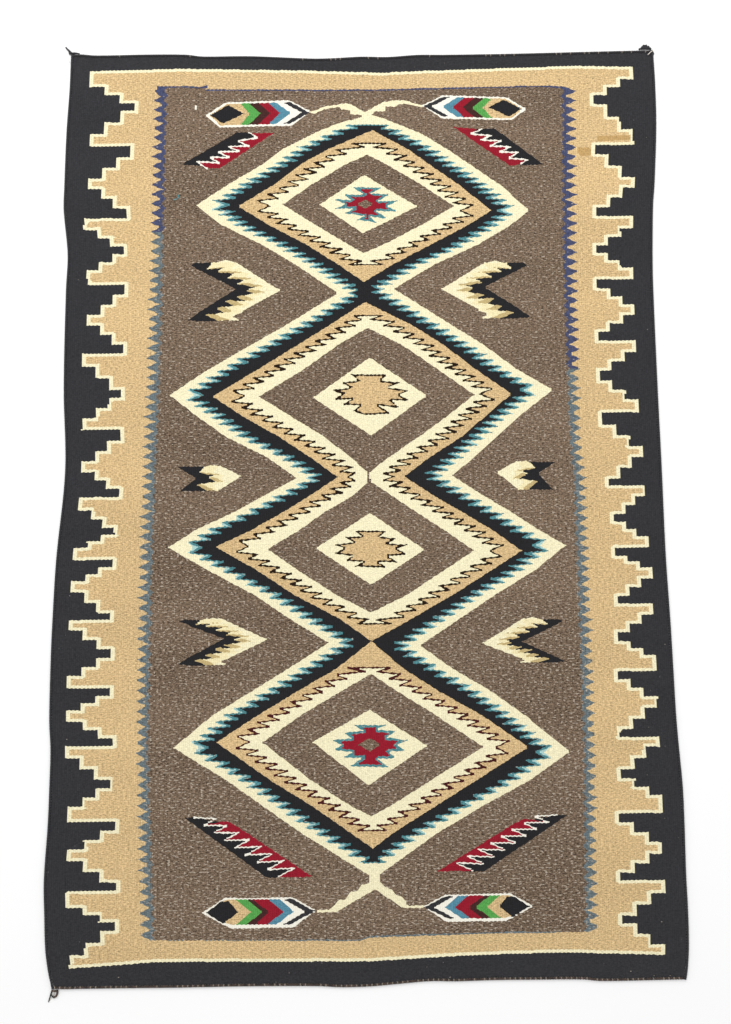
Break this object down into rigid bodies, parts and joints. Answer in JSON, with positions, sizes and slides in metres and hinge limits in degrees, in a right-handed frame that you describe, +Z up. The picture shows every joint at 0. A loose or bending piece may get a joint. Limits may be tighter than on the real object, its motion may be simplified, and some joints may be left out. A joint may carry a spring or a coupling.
{
  "type": "navajo rug",
  "caption": "Flat rectangular tapestry-woven wool rug with cords twined along its edges and knotted cord ends at its corners.",
  "frame": {"origin": "on the floor under the middle of the rug", "axes": "+X across the rug along the weft, +Y along the warp towards the far end, +Z up out of the pile face"},
  "size_m": [1.1294, 1.7467, 0.0067],
  "materials": {
    "cloth": "matte wool tapestry weave, serrated diamonds in cream, teal, tan and black on heathered brown, stepped border",
    "end_cord": "matte two-ply brown wool cord",
    "side_cord": "matte two-ply black wool cord",
    "tassel": "matte knotted wool yarn, frayed at the tips"
  },
  "bodies": {
    "root": {"rug_cloth": "cloth", "end_cord_top": "end_cord", "end_cord_bottom": "end_cord", "side_cord_left": "side_cord", "side_cord_right": "side_cord", "tassel_top_left": "tassel", "tassel_top_right": "tassel", "tassel_bottom_left": "tassel"}
  },
  "joints": []
}
